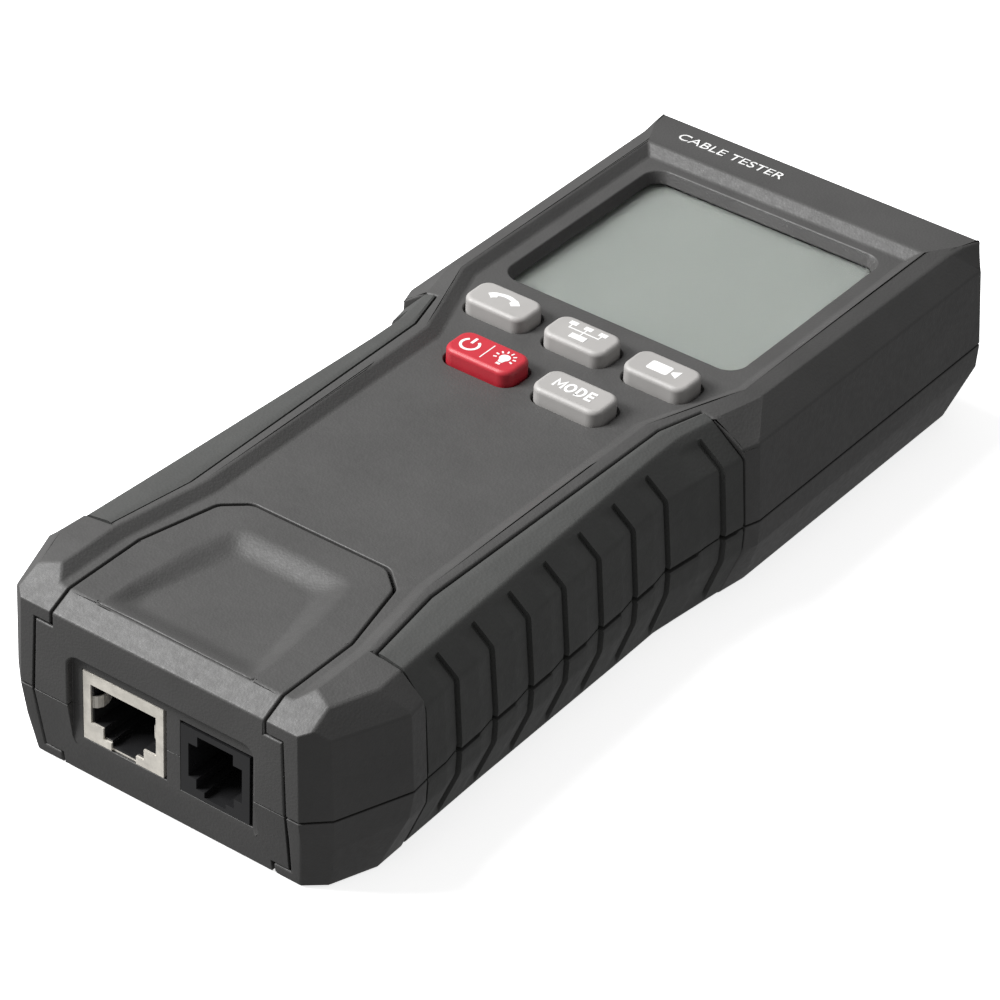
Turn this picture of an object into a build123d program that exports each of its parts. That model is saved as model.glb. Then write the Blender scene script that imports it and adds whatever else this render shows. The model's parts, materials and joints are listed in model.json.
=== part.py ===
from build123d import *
import os

# Handheld network cable tester with a slide-out remote, lying on its back.
# X is the width, Y the length (the remote is at -Y, the display at +Y), Z up.
# The origin is at the middle of the underside. All sizes are millimetres.

os.makedirs("parts", exist_ok=True)

# ---------------------------------------------------------------- driving dimensions
LENGTH = 175.0
END = LENGTH / 2
PARTING = 13.75          # height of the joint between the two housings
SEAM = 0.35              # open seam that shows between moulded pieces
FLOOR = 31.9             # key panel, sunk between the raised rims
RIM = 33.3               # inner crest of the rims
RIM_EDGE = 32.5          # outer edge of the rims
SHOULDER = 28.2          # where the side walls turn into the sloped facets
BELLY = 9.2              # where the side walls turn in towards the underside
SKIN = 2.2               # thickness of the key panel
UNDER_PANEL = FLOOR - SKIN
BASE_SKIN = 2.0

FRONT_BEVEL_LOW = 29.8   # the front bevel rises from here, at one in two
FRONT_RUN_OUT = 2.3      # how far the front face leans back from the parting line to the base
FAR_CREST = 76.4         # the rim band falls from here to the far end
FAR_EDGE_HEIGHT = 32.1

GRIP_THICK = 2.0
GRIP_SHOULDER = 26.5
GRIP_TOP = 33.05
GRIP_TOP_EDGE = 32.35
GRIP_NEAR, GRIP_FAR = -67.0, 15.2
GRIP_RUN = (-69.0, 16.2)  # the grips are drawn over this length, then cut to their slanted ends
NEAR_END = [(-68.0, 0), (GRIP_NEAR, BELLY), (GRIP_NEAR, GRIP_SHOULDER), (-67.9, GRIP_TOP_EDGE)]
FAR_END = [(13.6, 0), (GRIP_FAR, BELLY), (GRIP_FAR, GRIP_SHOULDER), (13.8, GRIP_TOP_EDGE)]
RIB_PITCH = 9.45
RIB_FIRST = -58.7
RIB_COUNT = 7
LAST_GROOVE = 10.9       # ends the last, longer rib
RIB_CREASE = 0.57        # share of a rib that is level before it slopes in
RIB_DEPTH = 0.5
GROOVE_DEPTH = 0.9
GRIP_WRAP, GRIP_FOOT, BASE_LIFT = 3.0, 1.5, 0.1
REACH = 45.0             # outside everything
GROOVE_HALF = 0.3
FACET_SWELL = 0.05

KEY_LENGTH, KEY_CORNER = 7.0, 2.2
UPPER_KEY_WIDTH, LOWER_KEY_WIDTH = 12.3, 13.4
KEY_TOP = 34.45
KEY_GAP = 0.45
KEY_TRAVEL = 1.0
KEY_ROUND = 0.8          # rounding of the key's top edge
FLANGE = 1.3
FLANGE_TOP = UNDER_PANEL - 0.1
FLANGE_THICK = 0.7
MAT_TOP, MAT_THICK = 27.7, 0.7
MAT_SIZE, MAT_EDGE = (46.0, 24.6), 1.5
DOME_HEIGHT, DOME_RADIUS = 1.0, 2.7
KEY_PITCH = 15.8
UPPER_ROW, LOWER_ROW = 18.2, 4.3
LOWER_HALF_PITCH = 8.7

WINDOW_WIDTH, WINDOW_NEAR, WINDOW_FAR = 47.0, 27.5, 72.2
WINDOW_CORNER = 3.5
WINDOW_MID = (WINDOW_NEAR + WINDOW_FAR) / 2
WINDOW_LENGTH = WINDOW_FAR - WINDOW_NEAR
WINDOW_TAPER = 22.0      # lean of the frame's sides, in degrees
PANE, PANE_THICK = (50.0, 47.6), 1.2
GLASS, GLASS_LOW, GLASS_THICK = (48.0, 44.6), 26.6, 1.7
TRAY = (51.4, 48.8)
STRIP, STRIP_Y = (42.0, 1.6), 29.2

BOARD_TOP = 25.2
BOARD_THICK = 1.6
BOARD_BASE = BOARD_TOP - BOARD_THICK
PLUNGER = 1.8
PLUNGER_LOW = BOARD_TOP + DOME_HEIGHT + KEY_TRAVEL + 0.1
BOARD_HALF = 24.6
BOARD_NEAR, BOARD_FAR = -44.5, 84.5

REMOTE_HALF = 20.2
REMOTE_TONGUE = 24.1
REMOTE_INNER_HALF = 16.9
REMOTE_WAIST = -67.3
REMOTE_CORNER = -53.0
REMOTE_END = -49.45
REMOTE_BASE = 0.2
TONGUE_TOP, TONGUE_LOW = 27.2, 2.5
REMOTE_WALL = 1.8
REMOTE_GAP = 0.4
REMOTE_CEILING = 28.8
REMOTE_BOARD = 20.85     # underside of the remote's board

SOCKET_FACE = -86.2      # floor of the shallow pocket round the remote's sockets
SOCKET_DEPTH = 15.2
NET_X, NET_Z = -7.65, 14.45
PHONE_X, PHONE_Z = 10.05, 13.9
FACE_POCKET, FACE_POCKET_MID, FACE_CORNER = (35.8, 18.0), (0.4, 14.4), 2.2
NET_WIDTH, NET_HEIGHT = 15.6, 12.7
PHONE_WIDTH, PHONE_HEIGHT = 13.1, 12.6
SHIELD = 0.35
FAR_SOCKET_Z = BOARD_BASE - NET_HEIGHT / 2 - 0.05
FAR_SOCKET_X = 11.5

BATTERY = (26.5, 46.4, 17.5)
BATTERY_NEAR, BATTERY_LOW = -43.7, 2.1
BAY_HALF, BAY_NEAR, BAY_FAR, BAY_TOP = 14.2, -44.0, 9.8, 20.2
BAY_WALL = 1.4
ARM_POCKET_LOW, ARM_POCKET_TOP = 3.2, 25.0
DOOR_HALF, DOOR_NEAR, DOOR_FAR, DOOR_THICK = 15.1, -45.6, 13.9, 1.15
DOOR_LIFT, DOOR_SWING_ROOM, DOOR_GAP = 0.1, 0.7, 0.3
PIN_RADIUS, PIN_FIT, PIN_LONG = 0.4, 0.06, 1.2
PIN_PLACE = (DOOR_NEAR + 0.5, 0.65)
DOOR_PAD, DOOR_PAD_Y = (22.0, 34.0), -20.0
FINGER_RIDGES, FINGER_PITCH = 4, 1.6
SNAP_X, SNAP_TALL = 6.35, 2.0
CONTACT_WIDE, CONTACT_THICK, CONTACT_LOW, CONTACT_TOP = 6.0, 0.4, 5.0, 16.6

SCREW_HEAD, SCREW_SHANK, SCREW_SEAT = 2.2, 1.25, 4.8
CROSS_LONG, CROSS_WIDE = 2.6, 0.6
THREAD_FIT = 0.03        # running fit between a screw and the plastic round it
SCREW_TIP, SCREW_WELL, HEAD_THICK = 21.0, 2.5, 1.7
BOSS, BOARD_BOSS, BOARD_SHANK = 3.0, 2.4, 1.0
BOARD_HEAD, BOARD_HEAD_THICK, BOARD_SCREW_GRIP = 2.0, 1.3, 3.2
HOUSING_SCREWS = [(x * s, y) for x, y in ((27.9, -73.0), (28.4, 22.0), (28.4, 79.5)) for s in (-1, 1)]
REMOTE_SCREWS = [(-9.0, -59.5), (9.0, -59.5)]

# ------------------------------------------------- half outlines, from the front to the far end
PARTING_LINE = [(26.8, -END), (30.5, -83.9), (35.3, -71.0), (34.9, -67.0), (34.2, -49.0),
                (33.1, -11.0), (32.7, -1.5), (33.7, 7.0), (35.1, 15.2), (36.1, 18.3),
                (35.9, 85.3), (33.0, END)]
WALL_SHOULDER = [(26.4, -END), (30.0, -84.3), (34.8, -71.6), (34.0, -67.0), (32.9, -49.0),
                 (31.8, -11.0), (31.3, -1.5), (32.4, 7.0), (33.9, 15.2), (34.9, 18.3),
                 (34.8, 84.9), (32.6, END)]
ROOF_SHOULDER = [(28.9, -END - 1), (34.85, -71.7), (34.1, -67.0), (33.0, -49.0), (31.9, -11.0),
                 (31.4, -1.5), (32.5, 7.0), (34.0, 15.2), (35.0, 18.3), (34.9, 84.9), (34.9, END + 1)]
ROOF_EDGE = [(25.5, -END - 1), (30.6, -74.0), (30.2, -67.8), (29.3, -49.0), (27.65, -11.0),
             (27.3, -1.5), (27.2, 6.5), (28.8, 15.5), (30.9, 24.5), (31.2, 80.0), (32.4, END + 1)]
ROOF_CREST = [(24.2, -END - 1), (24.1, -74.0), (24.15, -68.6), (21.2, -50.5), (21.45, -11.0),
              (21.5, -1.5), (21.55, 5.5), (25.2, 15.5), (27.85, 23.3), (28.1, 76.0), (28.0, END + 1)]
PANEL_TOP = [(24.15, -END - 1), (24.15, -68.6), (21.2, -50.5), (21.55, 5.5), (27.85, 23.3),
             (28.05, FAR_CREST)]
PANEL_FLOOR = [(22.1, -END - 1), (22.1, -68.6), (19.2, -50.3), (19.5, 5.7), (26.15, 24.4),
               (26.1, 74.1)]
BELLY_LINE = [(26.7, -86.7), (30.2, -83.4), (34.9, -71.5), (34.75, -67.2), (34.05, -49.0),
              (33.0, -11.0), (32.6, -1.5), (33.6, 7.0), (35.0, 15.2), (36.0, 18.4),
              (35.8, 85.0), (32.9, 87.2)]
BASE_LINE = [(25.6, -END + FRONT_RUN_OUT), (28.7, -82.5), (31.6, -74.7), (31.4, -68.0), (30.9, -49.0),
             (30.4, -11.0), (30.2, -1.5), (30.9, 5.0), (31.9, 13.6), (32.8, 20.0),
             (32.8, 80.9), (29.5, 83.3)]
GRIP_EDGE = [(25.6, -67.6), (23.4, -52.0), (24.0, -12.0), (24.2, 5.4), (26.5, 13.8)]
CAVITY_TOP = [(26.8, -45.5), (25.5, -11.0), (25.1, -1.5), (25.2, 8.0), (26.5, 16.0),
              (31.2, 25.0), (31.2, 85.0)]
CAVITY_PARTING = [(30.0, -45.5), (29.3, -11.0), (28.9, -1.5), (29.8, 8.0), (31.2, 16.0),
                  (33.9, 21.5), (33.9, 85.0)]
CAVITY_BELLY = [(29.8, -45.5), (29.0, -11.0), (28.7, -1.5), (29.6, 8.0), (30.8, 16.0),
                (33.6, 21.5), (33.6, 84.6)]
CAVITY_BASE = [(26.4, -45.5), (26.2, -11.0), (26.0, -1.5), (26.4, 8.0), (27.4, 16.0),
               (30.4, 21.5), (30.4, 81.5)]
ARM_POCKET = [(26.6, -68.6), (30.0, -68.6), (29.0, -47.5), (22.4, -47.5), (26.6, -65.5)]


def whole(half):
    """The closed outline whose +X side is the given half outline."""
    return [(x, y) for x, y in half] + [(-x, y) for x, y in reversed(half)]


def across(half, y):
    """Half width at y of an outline that runs from the front to the far end."""
    for (x0, y0), (x1, y1) in zip(half, half[1:]):
        if y0 <= y <= y1:
            return x0 + (x1 - x0) * (y - y0) / (y1 - y0)
    return half[0][0] if y < half[0][1] else half[-1][0]


def between(low, high, z_low, z_high, z):
    """The outline at height z on the ruled wall that joins two outlines."""
    t = (z - z_low) / (z_high - z_low)
    return [(x0 + (x1 - x0) * t, y0 + (y1 - y0) * t) for (x0, y0), (x1, y1) in zip(low, high)]


def save(builder, name):
    """Label a finished piece and write it to its own STEP file."""
    builder.part.label = name
    export_step(builder.part, f"parts/{name}.step")


# ---------------------------------------------------------------- the remote's outer shape
TONGUE_PROFILE = [(REMOTE_HALF - 1, TONGUE_TOP), (23.5, TONGUE_TOP), (REMOTE_TONGUE, PARTING),
                  (23.6, TONGUE_LOW), (REMOTE_HALF - 1, TONGUE_LOW)]
FRONT_BEVEL = Plane(origin=(0, -END, FRONT_BEVEL_LOW), x_dir=(1, 0, 0), z_dir=(0, -1, 2))
FRONT_LEAN = Plane(origin=(0, -END, PARTING), x_dir=(1, 0, 0), z_dir=(0, -PARTING, -FRONT_RUN_OUT))
FAR_BAND = Plane(origin=(0, FAR_CREST, RIM), x_dir=(1, 0, 0),
                 z_dir=(0, RIM - FAR_EDGE_HEIGHT, END - FAR_CREST))


def remote_plan(grow, front):
    """Plan of the remote: parallel sides, a tapered tail and a rounded end."""
    half = REMOTE_HALF + grow
    tail = REMOTE_INNER_HALF + grow
    with BuildSketch(Plane.XY.offset(REMOTE_BASE)) as plan:
        Polygon((half, front), (half, REMOTE_WAIST), (tail, REMOTE_CORNER + grow),
                (tail - 4.0, REMOTE_END + grow), (4.0 - tail, REMOTE_END + grow),
                (-tail, REMOTE_CORNER + grow), (-half, REMOTE_WAIST), (-half, front), align=None)
        fillet(plan.vertices().sort_by(Axis.Y)[-4:], radius=2.6)
    return plan.sketch


def remote_block():
    """The closed outer form of the remote, before it is parted and hollowed."""
    with BuildPart() as block:
        add(remote_plan(0, -END))
        extrude(amount=FLOOR - REMOTE_BASE)
        with BuildSketch(Plane.XZ.offset(END)):
            Polygon(*TONGUE_PROFILE, align=None)
            mirror(about=Plane.YZ)
        extrude(amount=-(END + REMOTE_WAIST))
        split(bisect_by=FRONT_BEVEL, keep=Keep.BOTTOM)
        split(bisect_by=FRONT_LEAN, keep=Keep.BOTTOM)
        # shallow thumb dent, open towards the front bevel
        with BuildSketch(Plane.XY.offset(FLOOR + 0.01)):
            Polygon(*whole([(14.9, -83.5), (14.6, -76.0), (13.2, -64.0), (11.4, -56.6), (9.2, -54.7)]),
                    align=None)
        with BuildSketch(Plane.XY.offset(FLOOR - 1.2)):
            Polygon(*whole([(12.6, -81.0), (12.0, -76.0), (8.6, -66.0), (7.6, -62.4), (6.2, -61.2)]),
                    align=None)
        loft(ruled=True, mode=Mode.SUBTRACT)
    return block.part


def remote_bay():
    """The room that both housings leave for the remote and its slide."""
    with BuildPart() as bay:
        add(remote_plan(REMOTE_GAP, -END - 2))
        extrude(amount=FLOOR + 3)
        with BuildSketch(Plane.XY.offset(REMOTE_BASE)):
            add(remote_plan(REMOTE_GAP + 0.3, -END - 2))
        extrude(amount=-REMOTE_BASE - 1)
        with BuildSketch(Plane.XZ.offset(END + 2)):
            Polygon((REMOTE_HALF - 1, TONGUE_TOP + REMOTE_GAP), (23.8, TONGUE_TOP + REMOTE_GAP),
                    (REMOTE_TONGUE + REMOTE_GAP, PARTING), (23.9, TONGUE_LOW - REMOTE_GAP),
                    (REMOTE_HALF - 1, TONGUE_LOW - REMOTE_GAP), align=None)
            mirror(about=Plane.YZ)
        extrude(amount=-(END + REMOTE_WAIST + 2 + REMOTE_GAP))
    return bay.part


# ---------------------------------------------------------------- sockets
NET_OPENING = [(-6.35, -2.95), (-3.95, -2.95), (-3.95, -4.95), (-2.4, -4.95), (-2.4, -6.8),
               (2.4, -6.8), (2.4, -4.95), (3.95, -4.95), (3.95, -2.95), (6.35, -2.95),
               (6.35, 4.25), (-6.35, 4.25)]
NET_CAVITY = [(-6.0, -2.95), (-3.95, -2.95), (-3.95, -4.6), (-2.4, -4.6), (-2.4, -5.6),
              (2.4, -5.6), (2.4, -4.6), (3.95, -4.6), (3.95, -2.95), (6.0, -2.95),
              (6.0, 4.25), (-6.0, 4.25)]
PHONE_CAVITY = [(-5.1, -2.9), (-3.6, -2.9), (-3.6, -4.65), (-2.05, -4.65), (-2.05, -5.6),
                (2.05, -5.6), (2.05, -4.65), (3.6, -4.65), (3.6, -2.9), (5.1, -2.9),
                (5.1, 3.3), (3.4, 3.3), (3.4, 5.2), (-3.4, 5.2), (-3.4, 3.3), (-5.1, 3.3)]
CAVITY_DEPTH = 12.6
WIRE_PITCH, WIRE_THICK = 1.02, 0.42


def network_shield():
    """Folded metal can of an eight-way socket: its face is at y = 0 and it runs towards +Y."""
    with BuildPart() as can:
        with BuildSketch(Plane.XZ):
            Rectangle(NET_WIDTH, NET_HEIGHT)
        extrude(amount=-SOCKET_DEPTH)
        with BuildSketch(Plane.XZ.offset(-SHIELD)):
            Rectangle(NET_WIDTH - 2 * SHIELD, NET_HEIGHT - 2 * SHIELD)
        extrude(amount=-SOCKET_DEPTH, mode=Mode.SUBTRACT)
        with BuildSketch(Plane.XZ):
            Polygon(*NET_OPENING, align=None)
        extrude(amount=-SHIELD, mode=Mode.SUBTRACT)
    return can.part


def network_body():
    """Moulded insert inside the shield, with the stepped room for a plug and its latch."""
    with BuildPart() as body:
        with BuildSketch(Plane.XZ.offset(-SHIELD)):
            Rectangle(NET_WIDTH - 2 * SHIELD, NET_HEIGHT - 2 * SHIELD)
        extrude(amount=SHIELD - SOCKET_DEPTH)
        with BuildSketch(Plane.XZ.offset(-SHIELD)):
            Polygon(*NET_CAVITY, align=None)
        extrude(amount=SHIELD - CAVITY_DEPTH, mode=Mode.SUBTRACT)
    return body.part


def phone_body():
    """Moulded six-way socket with the stepped room for a plug and its latch."""
    with BuildPart() as body:
        with BuildSketch(Plane.XZ):
            Rectangle(PHONE_WIDTH, PHONE_HEIGHT)
        extrude(amount=-SOCKET_DEPTH)
        with BuildSketch(Plane.XZ):
            Polygon(*PHONE_CAVITY, align=None)
        extrude(amount=-CAVITY_DEPTH, mode=Mode.SUBTRACT)
    return body.part


def spring_wires(count):
    """Contact wires that slope forward and down from the roof of a socket."""
    with BuildPart() as wires:
        for i in range(count):
            side = (i - (count - 1) / 2) * WIRE_PITCH - WIRE_THICK / 2
            with BuildSketch(Plane.YZ.offset(side)):
                Polygon((CAVITY_DEPTH, 4.1), (CAVITY_DEPTH, 3.7), (11.4, 3.7), (5.2, 1.6), (5.1, 2.0),
                        (11.3, 4.1), align=None)
            extrude(amount=WIRE_THICK)
    return wires.part


def placed(piece, place, name):
    """Put a socket piece at its place and save it."""
    with BuildPart() as builder:
        with Locations(place):
            add(piece)
    save(builder, name)


def screws(places, tip):
    """Pan-head screws that point up, with a cross recess in each head."""
    with BuildPart() as group:
        with BuildSketch(Plane.XY.offset(SCREW_SEAT - HEAD_THICK)):
            with Locations(*places):
                Circle(SCREW_HEAD)
        extrude(amount=HEAD_THICK)
        with BuildSketch(Plane.XY.offset(SCREW_SEAT)):
            with Locations(*places):
                Circle(SCREW_SHANK)
        extrude(amount=tip - SCREW_SEAT)
        with BuildSketch(Plane.XY.offset(SCREW_SEAT - HEAD_THICK)):
            with Locations(*places):
                Rectangle(CROSS_LONG, CROSS_WIDE)
                Rectangle(CROSS_WIDE, CROSS_LONG)
        extrude(amount=HEAD_THICK / 2, mode=Mode.SUBTRACT)
    return group


# ---------------------------------------------------------------- side grips
GROOVES = [RIB_FIRST + i * RIB_PITCH for i in range(RIB_COUNT)] + [LAST_GROOVE]


def rib_relief():
    """Depth of the ribs along a grip, as (depth, y): level, then a slope in, then a groove."""
    relief = [(0, GRIP_RUN[0])]
    start = GRIP_NEAR
    for groove in GROOVES:
        relief += [(0, start + RIB_CREASE * (groove - start)), (RIB_DEPTH, groove - GROOVE_HALF),
                   (GROOVE_DEPTH, groove - GROOVE_HALF + 0.1),
                   (GROOVE_DEPTH, groove + GROOVE_HALF - 0.1), (0, groove + GROOVE_HALF)]
        start = groove
    return relief + [(0, GRIP_RUN[1])]


RELIEF = rib_relief()
OUTLINE_BREAKS = {y for line in (PARTING_LINE, WALL_SHOULDER, ROOF_EDGE, BELLY_LINE, BASE_LINE, GRIP_EDGE)
                  for _, y in line if GRIP_RUN[0] < y < GRIP_RUN[1]}


def upper_grip_core(y):
    """Inner side of the upper grip in the cross-section at y, from the parting line to the rim."""
    return [(across(PARTING_LINE, y) - GRIP_THICK, PARTING + SEAM / 2),
            (across(WALL_SHOULDER, y) - GRIP_THICK, GRIP_SHOULDER - 0.5),
            (across(ROOF_EDGE, y) - 1.2, GRIP_TOP_EDGE - 1.45)]


def upper_grip_section(y):
    """Cross-section of the upper grip at y: rim, facet, ribbed side and the inner side."""
    depth = across(RELIEF, y)
    edge, rim = across(GRIP_EDGE, y), across(ROOF_EDGE, y)
    shoulder, part = across(WALL_SHOULDER, y), across(PARTING_LINE, y)
    run, drop = shoulder - rim, GRIP_TOP_EDGE - GRIP_SHOULDER
    return [(edge, GRIP_TOP), (rim, GRIP_TOP_EDGE),
            (rim + 0.30 * run, GRIP_TOP_EDGE - 0.30 * drop),
            (rim + 0.42 * run + FACET_SWELL - 0.85 * depth, GRIP_TOP_EDGE - 0.42 * drop - 0.5 * depth),
            (shoulder - depth, GRIP_SHOULDER - 0.3 * depth),
            (part - depth, PARTING + SEAM / 2)] + upper_grip_core(y) + [(edge, GRIP_TOP - 1.75)]


def lower_grip_core(y):
    """Inner side of the lower grip in the cross-section at y, from the underside to the parting line."""
    base = across(BASE_LINE, y)
    return [(base - GRIP_WRAP, BASE_LIFT + GRIP_FOOT), (base - 1.3, BASE_LIFT + GRIP_FOOT),
            (across(BELLY_LINE, y) - GRIP_THICK, BELLY + 0.4),
            (across(PARTING_LINE, y) - GRIP_THICK, PARTING - SEAM / 2)]


def lower_grip_section(y):
    """Cross-section of the lower grip at y: it ends folded under the base."""
    depth = across(RELIEF, y)
    base = across(BASE_LINE, y)
    return [(across(PARTING_LINE, y) - depth, PARTING - SEAM / 2), (across(BELLY_LINE, y) - depth, BELLY),
            (base - 0.3 * depth, BASE_LIFT), (base - GRIP_WRAP, BASE_LIFT)] + lower_grip_core(y)


def lofted_along(section, stations):
    """Ruled solid through one cross-section for each place along Y."""
    with BuildPart() as body:
        for y in stations:
            with BuildSketch(Plane.XZ.offset(-y)):
                Polygon(*section(y), align=None)
        loft(ruled=True)
    return body.part


def grip_span(grow):
    """Everything between the slanted ends of the grips, which bend at the shoulder and the belly."""
    near = [(y - grow, z) for y, z in [(NEAR_END[0][0], -1)] + NEAR_END + [(NEAR_END[-1][0], RIM + 3)]]
    far = [(y + grow, z) for y, z in [(FAR_END[0][0], -1)] + FAR_END + [(FAR_END[-1][0], RIM + 3)]]
    with BuildPart() as span:
        with BuildSketch(Plane.YZ.offset(-REACH - 1)):
            Polygon(*near, *reversed(far), align=None)
        extrude(amount=2 * REACH + 2)
    return span.part


def grip(section, name):
    """Both hands of one grip piece, each saved as its own part."""
    stations = sorted({y for _, y in RELIEF} | OUTLINE_BREAKS)
    right = lofted_along(section, stations) & grip_span(0)
    for side, hand in ((right, "right"), (mirror(right, about=Plane.YZ), "left")):
        with BuildPart() as piece:
            add(side)
        save(piece, f"{name}_{hand}")


def recess(section):
    """Room for a grip in a housing, on both sides."""
    stations = sorted({*GRIP_RUN} | OUTLINE_BREAKS)
    right = lofted_along(section, stations) & grip_span(SEAM)
    with BuildPart() as room:
        add(right)
        add(mirror(right, about=Plane.YZ))
    return room.part


def upper_recess_section(y):
    edge = across(GRIP_EDGE, y) - SEAM
    core = upper_grip_core(y)
    return [(edge, RIM + 2), (REACH, RIM + 2), (REACH, PARTING - 1), (core[0][0], PARTING - 1)] \
        + core + [(edge, GRIP_TOP - 1.75)]


def lower_recess_section(y):
    core = lower_grip_core(y)
    return [(REACH, PARTING + 1), (REACH, -1), (core[0][0] - SEAM, -1), (core[0][0] - SEAM, core[0][1])] \
        + core[1:] + [(core[-1][0], PARTING + 1)]


grip(upper_grip_section, "grip_upper")
grip(lower_grip_section, "grip_lower")


# ---------------------------------------------------------------- front housing
KEYS = {"key_phone": (-KEY_PITCH, UPPER_ROW), "key_network": (0, UPPER_ROW),
        "key_camera": (KEY_PITCH, UPPER_ROW), "key_power": (-LOWER_HALF_PITCH, LOWER_ROW),
        "key_mode": (LOWER_HALF_PITCH, LOWER_ROW)}


def key_width(place):
    """Width of a key: the two of the lower row are wider."""
    return LOWER_KEY_WIDTH if place[1] == LOWER_ROW else UPPER_KEY_WIDTH


BOARD_SCREWS = [(x, y) for y in (-41.0, 81.0) for x in (-22.0, 22.0)]
FAR_SOCKETS = [(-FAR_SOCKET_X, FAR_SOCKET_Z), (FAR_SOCKET_X, FAR_SOCKET_Z)]
FREE_BOSSES = [place for place in HOUSING_SCREWS if place[1] > 0]

with BuildPart() as front_housing:
    # side walls with their draft, then the sloped facets and the rim cut over them
    for z in (PARTING + SEAM, RIM + 1):
        with BuildSketch(Plane.XY.offset(z)):
            Polygon(*whole(between(PARTING_LINE, WALL_SHOULDER, PARTING, SHOULDER, z)), align=None)
    loft(ruled=True)
    skirt = [(x + 2.5, y) for x, y in ROOF_SHOULDER]
    for z, outline in ((PARTING - 1, skirt), (SHOULDER, ROOF_SHOULDER), (RIM_EDGE, ROOF_EDGE),
                       (RIM, ROOF_CREST)):
        with BuildSketch(Plane.XY.offset(z)):
            Polygon(*whole(outline), align=None)
    loft(ruled=True, mode=Mode.INTERSECT)
    # inner lip that closes the seam to the rear housing
    with BuildSketch(Plane.XY.offset(PARTING)):
        Polygon(*whole(PARTING_LINE), align=None)
        offset(amount=-0.9, kind=Kind.INTERSECTION)
    extrude(amount=SEAM)
    split(bisect_by=FRONT_BEVEL, keep=Keep.BOTTOM)
    split(bisect_by=FAR_BAND, keep=Keep.BOTTOM)
    # sunk key panel with leaning walls
    for z in (FLOOR, RIM + 1):
        with BuildSketch(Plane.XY.offset(z)):
            Polygon(*whole(between(PANEL_FLOOR, PANEL_TOP, FLOOR, RIM, z)), align=None)
    loft(ruled=True, mode=Mode.SUBTRACT)
    # hollow inside
    for z, outline in ((PARTING - 1, CAVITY_PARTING), (UNDER_PANEL, CAVITY_TOP)):
        with BuildSketch(Plane.XY.offset(z)):
            Polygon(*whole(outline), align=None)
    loft(ruled=True, mode=Mode.SUBTRACT)
    with BuildSketch(Plane.XY.offset(PARTING - 1)):
        Polygon(*ARM_POCKET, align=None)
        mirror(about=Plane.YZ)
    extrude(amount=ARM_POCKET_TOP - PARTING + 1, mode=Mode.SUBTRACT)
    # screw bosses
    with BuildSketch(Plane.XY.offset(PARTING)):
        with Locations(*FREE_BOSSES):
            Circle(BOSS)
    extrude(amount=UNDER_PANEL - PARTING)
    with BuildSketch(Plane.XY.offset(BOARD_TOP)):
        with Locations(*BOARD_SCREWS):
            Circle(BOARD_BOSS)
    extrude(amount=UNDER_PANEL - BOARD_TOP)
    with BuildSketch(Plane.XY.offset(BOARD_TOP)):
        with Locations(*BOARD_SCREWS):
            Circle(BOARD_SHANK + THREAD_FIT)
    extrude(amount=BOARD_SCREW_GRIP + 0.4, mode=Mode.SUBTRACT)
    with BuildSketch(Plane.XY.offset(PARTING - 1)):
        with Locations(*HOUSING_SCREWS):
            Circle(SCREW_SHANK + THREAD_FIT)
    extrude(amount=SCREW_TIP + 1.5 - PARTING, mode=Mode.SUBTRACT)
    # display window, key holes, remote bay, grips and the sockets of the far end
    with BuildSketch(Plane.XY.offset(FLOOR)):
        with Locations((0, WINDOW_MID)):
            RectangleRounded(WINDOW_WIDTH, WINDOW_LENGTH, WINDOW_CORNER)
    extrude(amount=-SKIN, taper=WINDOW_TAPER, mode=Mode.SUBTRACT)
    with BuildSketch(Plane.XY.offset(FLOOR + 1)):
        for place in KEYS.values():
            with Locations(place):
                RectangleRounded(key_width(place) + 2 * KEY_GAP, KEY_LENGTH + 2 * KEY_GAP,
                                 KEY_CORNER + KEY_GAP)
    extrude(amount=-SKIN - 2, mode=Mode.SUBTRACT)
    add(remote_bay(), mode=Mode.SUBTRACT)
    add(recess(upper_recess_section), mode=Mode.SUBTRACT)
    with BuildSketch(Plane.XZ.offset(-END - 1)):
        with Locations(*FAR_SOCKETS):
            Rectangle(NET_WIDTH + 0.4, NET_HEIGHT + 0.1)
    extrude(amount=5, mode=Mode.SUBTRACT)
save(front_housing, "front_housing")


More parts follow.
